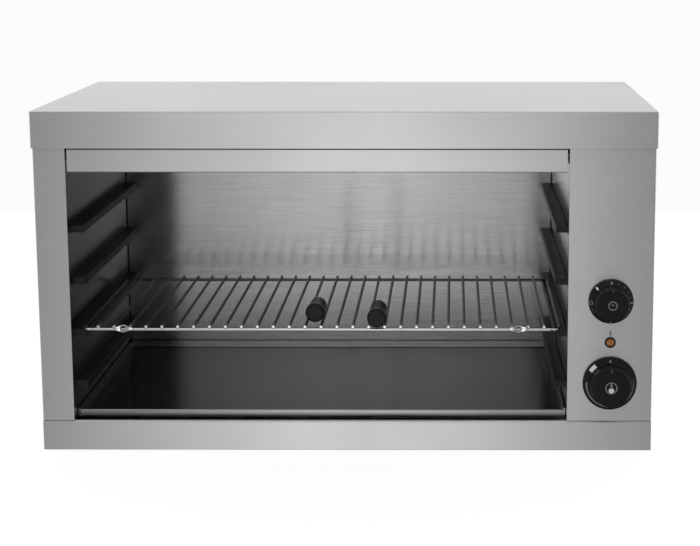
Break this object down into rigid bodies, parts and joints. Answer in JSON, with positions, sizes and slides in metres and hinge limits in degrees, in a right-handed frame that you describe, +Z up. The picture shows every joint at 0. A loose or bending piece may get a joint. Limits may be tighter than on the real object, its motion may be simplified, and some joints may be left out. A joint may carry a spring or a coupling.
{
  "type": "electric salamander grill",
  "caption": "Open-fronted stainless toaster oven with a sliding wire rack, a crumb tray, side controls and a folded hood.",
  "frame": {"origin": "centre of the bounding box on the surface that the feet stand on", "axes": "+X to the right across the front, the front faces -Y, +Z up"},
  "size_m": [0.755, 0.433, 0.427],
  "materials": {
    "brushed_steel": "long brushed grain along the front",
    "plain_steel": "mill finish",
    "polished_steel": "polished, soft mirror",
    "runner_black": "satin black",
    "rack_chrome": "bright plated wire",
    "grip_black": "satin moulded phenolic",
    "fastener_steel": "zinc plated",
    "element_sheath": "oxidised metal sheath",
    "ceramic": "glazed ceramic",
    "control_case": "moulded",
    "dark_case": "moulded phenolic",
    "knob_black": "satin to gloss moulded",
    "copper_tube": "drawn copper",
    "amber_lens": "translucent amber",
    "gland_nylon": "moulded nylon",
    "wire_insulation": "silicone insulation",
    "foot_rubber": "moulded rubber"
  },
  "bodies": {
    "cabinet": {"hood": "brushed_steel", "left_side_panel": "brushed_steel", "right_side_panel": "brushed_steel", "control_panel": "brushed_steel", "back_panel": "plain_steel", "base_pan": "plain_steel", "bottom_front_rail": "brushed_steel", "upper_front_rail": "brushed_steel", "left_liner": "polished_steel", "right_liner": "polished_steel", "back_liner": "polished_steel", "floor_liner": "polished_steel", "ceiling_reflector": "polished_steel", "left_runner_1": "runner_black", "left_runner_2": "runner_black", "left_runner_3": "runner_black", "left_runner_4": "runner_black", "right_runner_1": "runner_black", "right_runner_2": "runner_black", "right_runner_3": "runner_black", "right_runner_4": "runner_black", "heating_element_1": "element_sheath", "heating_element_2": "element_sheath", "heating_element_3": "element_sheath", "element_bushes": "ceramic", "element_brackets": "plain_steel", "timer_body": "control_case", "thermostat_body": "dark_case", "thermostat_bulb": "copper_tube", "bulb_clips": "plain_steel", "neon_lens": "amber_lens", "neon_bezel": "knob_black", "neon_body": "control_case", "terminal_block": "control_case", "cable_gland": "gland_nylon", "gland_cap": "gland_nylon", "gland_locknut": "gland_nylon", "earth_stud": "fastener_steel", "earth_nuts": "fastener_steel", "wiring_harness": "wire_insulation", "rubber_feet": "foot_rubber", "foot_screws": "fastener_steel", "casing_screws": "fastener_steel"},
    "rack": {"rack_front_wire": "rack_chrome", "rack_back_wire": "rack_chrome", "rack_left_wire": "rack_chrome", "rack_right_wire": "rack_chrome", "rack_cross_wires": "rack_chrome", "rack_eyelets": "rack_chrome"},
    "left_loose_grip": {"left_grip": "grip_black", "left_grip_ferrule": "fastener_steel", "left_grip_stud": "fastener_steel"},
    "right_loose_grip": {"right_grip": "grip_black", "right_grip_ferrule": "fastener_steel", "right_grip_stud": "fastener_steel"},
    "tray": {"crumb_tray": "polished_steel"},
    "timer_control": {"timer_knob": "knob_black", "timer_spindle": "fastener_steel"},
    "thermostat_control": {"thermostat_knob": "knob_black", "thermostat_spindle": "fastener_steel"}
  },
  "joints": [
    {"name": "rack_slide", "type": "slide", "parent": "cabinet", "child": "rack", "axis": [0, -1, 0], "range_m": [0, 0.3]},
    {"name": "tray_slide", "type": "slide", "parent": "cabinet", "child": "tray", "axis": [0, -1, 0], "range_m": [0, 0.34]},
    {"name": "left_grip_lift", "type": "slide", "parent": "rack", "child": "left_loose_grip", "axis": [0, 0, 1], "range_m": [0, 0.06]},
    {"name": "right_grip_lift", "type": "slide", "parent": "rack", "child": "right_loose_grip", "axis": [0, 0, 1], "range_m": [0, 0.06]},
    {"name": "timer_turn", "type": "hinge", "parent": "cabinet", "child": "timer_control", "pos_m": [0.32375, -0.1895, 0.1941], "axis": [0, 1, 0], "range_deg": [0, 300]},
    {"name": "thermostat_turn", "type": "hinge", "parent": "cabinet", "child": "thermostat_control", "pos_m": [0.32375, -0.1895, 0.0911], "axis": [0, 1, 0], "range_deg": [0, 270]}
  ]
}
